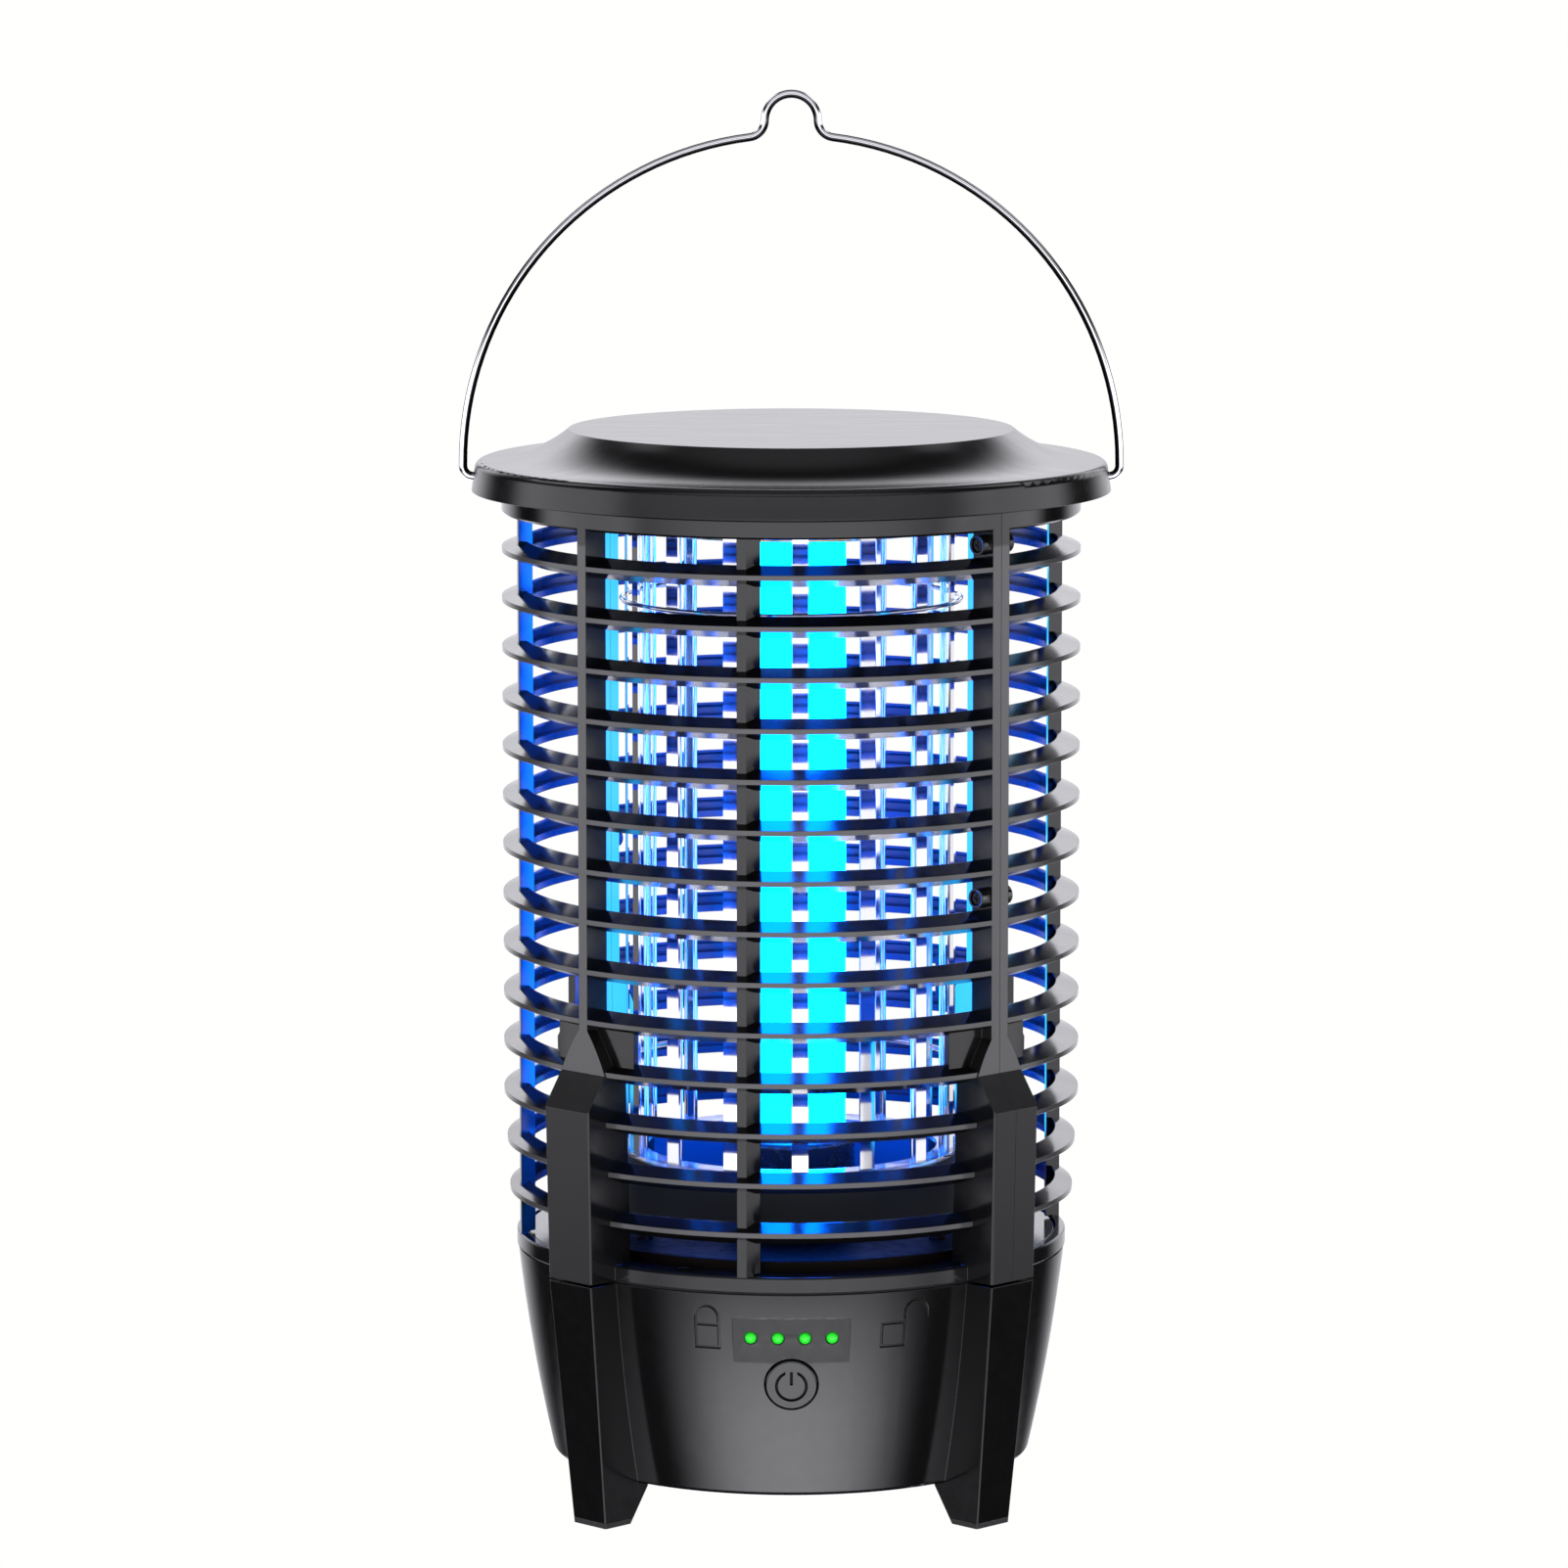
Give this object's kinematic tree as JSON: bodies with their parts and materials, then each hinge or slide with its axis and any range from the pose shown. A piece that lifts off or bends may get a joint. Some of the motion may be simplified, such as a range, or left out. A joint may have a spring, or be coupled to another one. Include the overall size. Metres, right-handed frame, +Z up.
{
  "type": "electric bug zapper",
  "caption": "Lantern-shaped rechargeable bug zapper: louvred twist-off cage round a lamp and steel-bar grid, footed base with button and charge lamps, wire handle.",
  "frame": {"origin": "centre of the four feet on the floor plane, on the lamp's axis", "axes": "+Z up along the lamp's axis, -Y towards the front panel with the button, +X to the right seen from the front"},
  "size_m": [0.156, 0.15, 0.3313],
  "materials": {
    "black_plastic": "satin moulded",
    "lid_plastic": "glossy moulded",
    "tray_plastic": "satin moulded",
    "socket_plastic": "smooth moulded",
    "post_plastic": "satin moulded",
    "button_plastic": "satin moulded",
    "black_rubber": "matt",
    "polished_steel": "mirror polished",
    "chrome_wire": "bright plated",
    "dark_wire": "drawn, blackened",
    "screw_steel": "zinc plated",
    "screw_black": "black plated",
    "contact_nickel": "nickel plated",
    "brass": "drawn",
    "clear_plastic": "clear polished",
    "lamp_glow": "glowing diffuser",
    "board_white": "solder mask",
    "board_green": "solder mask",
    "component_black": "moulded epoxy",
    "capacitor_film": "dipped epoxy",
    "uv_chip": "clear resin over phosphor",
    "cell_wrap": "shrink wrap",
    "led_green": "glowing lens",
    "lead_insulation": "PVC insulation"
  },
  "bodies": {
    "base": {"base_housing": "black_plastic", "base_bottom_cover": "black_plastic", "bottom_cover_screws": "screw_steel", "foot_pads": "black_rubber", "deck_plate": "black_plastic", "deck_screws": "screw_steel", "seal_ring": "black_rubber", "catch_tray": "tray_plastic", "grid_posts": "post_plastic", "grid_skirt": "black_plastic", "grid_base_ring": "clear_plastic", "grid_bars": "polished_steel", "grid_wires": "dark_wire", "grid_hoops": "polished_steel", "hv_ring": "brass", "grid_top_plate": "post_plastic", "lamp_socket": "socket_plastic", "lamp_tube": "lamp_glow", "lamp_led_board": "board_white", "uv_leds": "uv_chip", "lamp_top_cap": "socket_plastic", "battery_cells": "cell_wrap", "battery_holder": "post_plastic", "battery_contacts": "contact_nickel", "board_pillars": "post_plastic", "main_board": "board_green", "board_screws": "screw_steel", "board_components": "component_black", "hv_module": "component_black", "hv_capacitor": "capacitor_film", "indicator_board": "board_green", "indicator_leds": "led_green", "tact_switch": "component_black", "charge_port": "contact_nickel", "internal_leads": "lead_insulation"},
    "cage": {"cage_frame_left": "black_plastic", "cage_frame_right": "black_plastic", "louvres_front": "black_plastic", "louvres_left": "black_plastic", "louvres_rear": "black_plastic", "louvres_right": "black_plastic", "cage_seam_screws": "screw_black", "cage_top_plate": "black_plastic", "top_plate_screws": "screw_steel", "lid": "lid_plastic", "lid_screws": "screw_steel"},
    "bail": {"bail_handle": "chrome_wire", "bail_retainers": "screw_steel"},
    "button": {"power_button": "button_plastic", "switch_plunger": "component_black"},
    "port_flap": {"port_cover": "black_rubber"}
  },
  "joints": [
    {"name": "twist_lock", "type": "hinge", "parent": "base", "child": "cage", "pos_m": [0, 0, 0.0589], "axis": [0, 0, 1], "range_deg": [0, 40]},
    {"name": "bail_swing", "type": "hinge", "parent": "cage", "child": "bail", "pos_m": [0, 0, 0.2409], "axis": [1, 0, 0], "range_deg": [-115, 115]},
    {"name": "button_press", "type": "slide", "parent": "base", "child": "button", "axis": [0, 0.9888, 0.1495], "range_m": [0, 0.0008], "stiffness_N_per_m": 900},
    {"name": "port_flap_swing", "type": "hinge", "parent": "base", "child": "port_flap", "pos_m": [0, 0.06135, 0.04325], "axis": [1, 0, 0], "range_deg": [0, 100]}
  ]
}
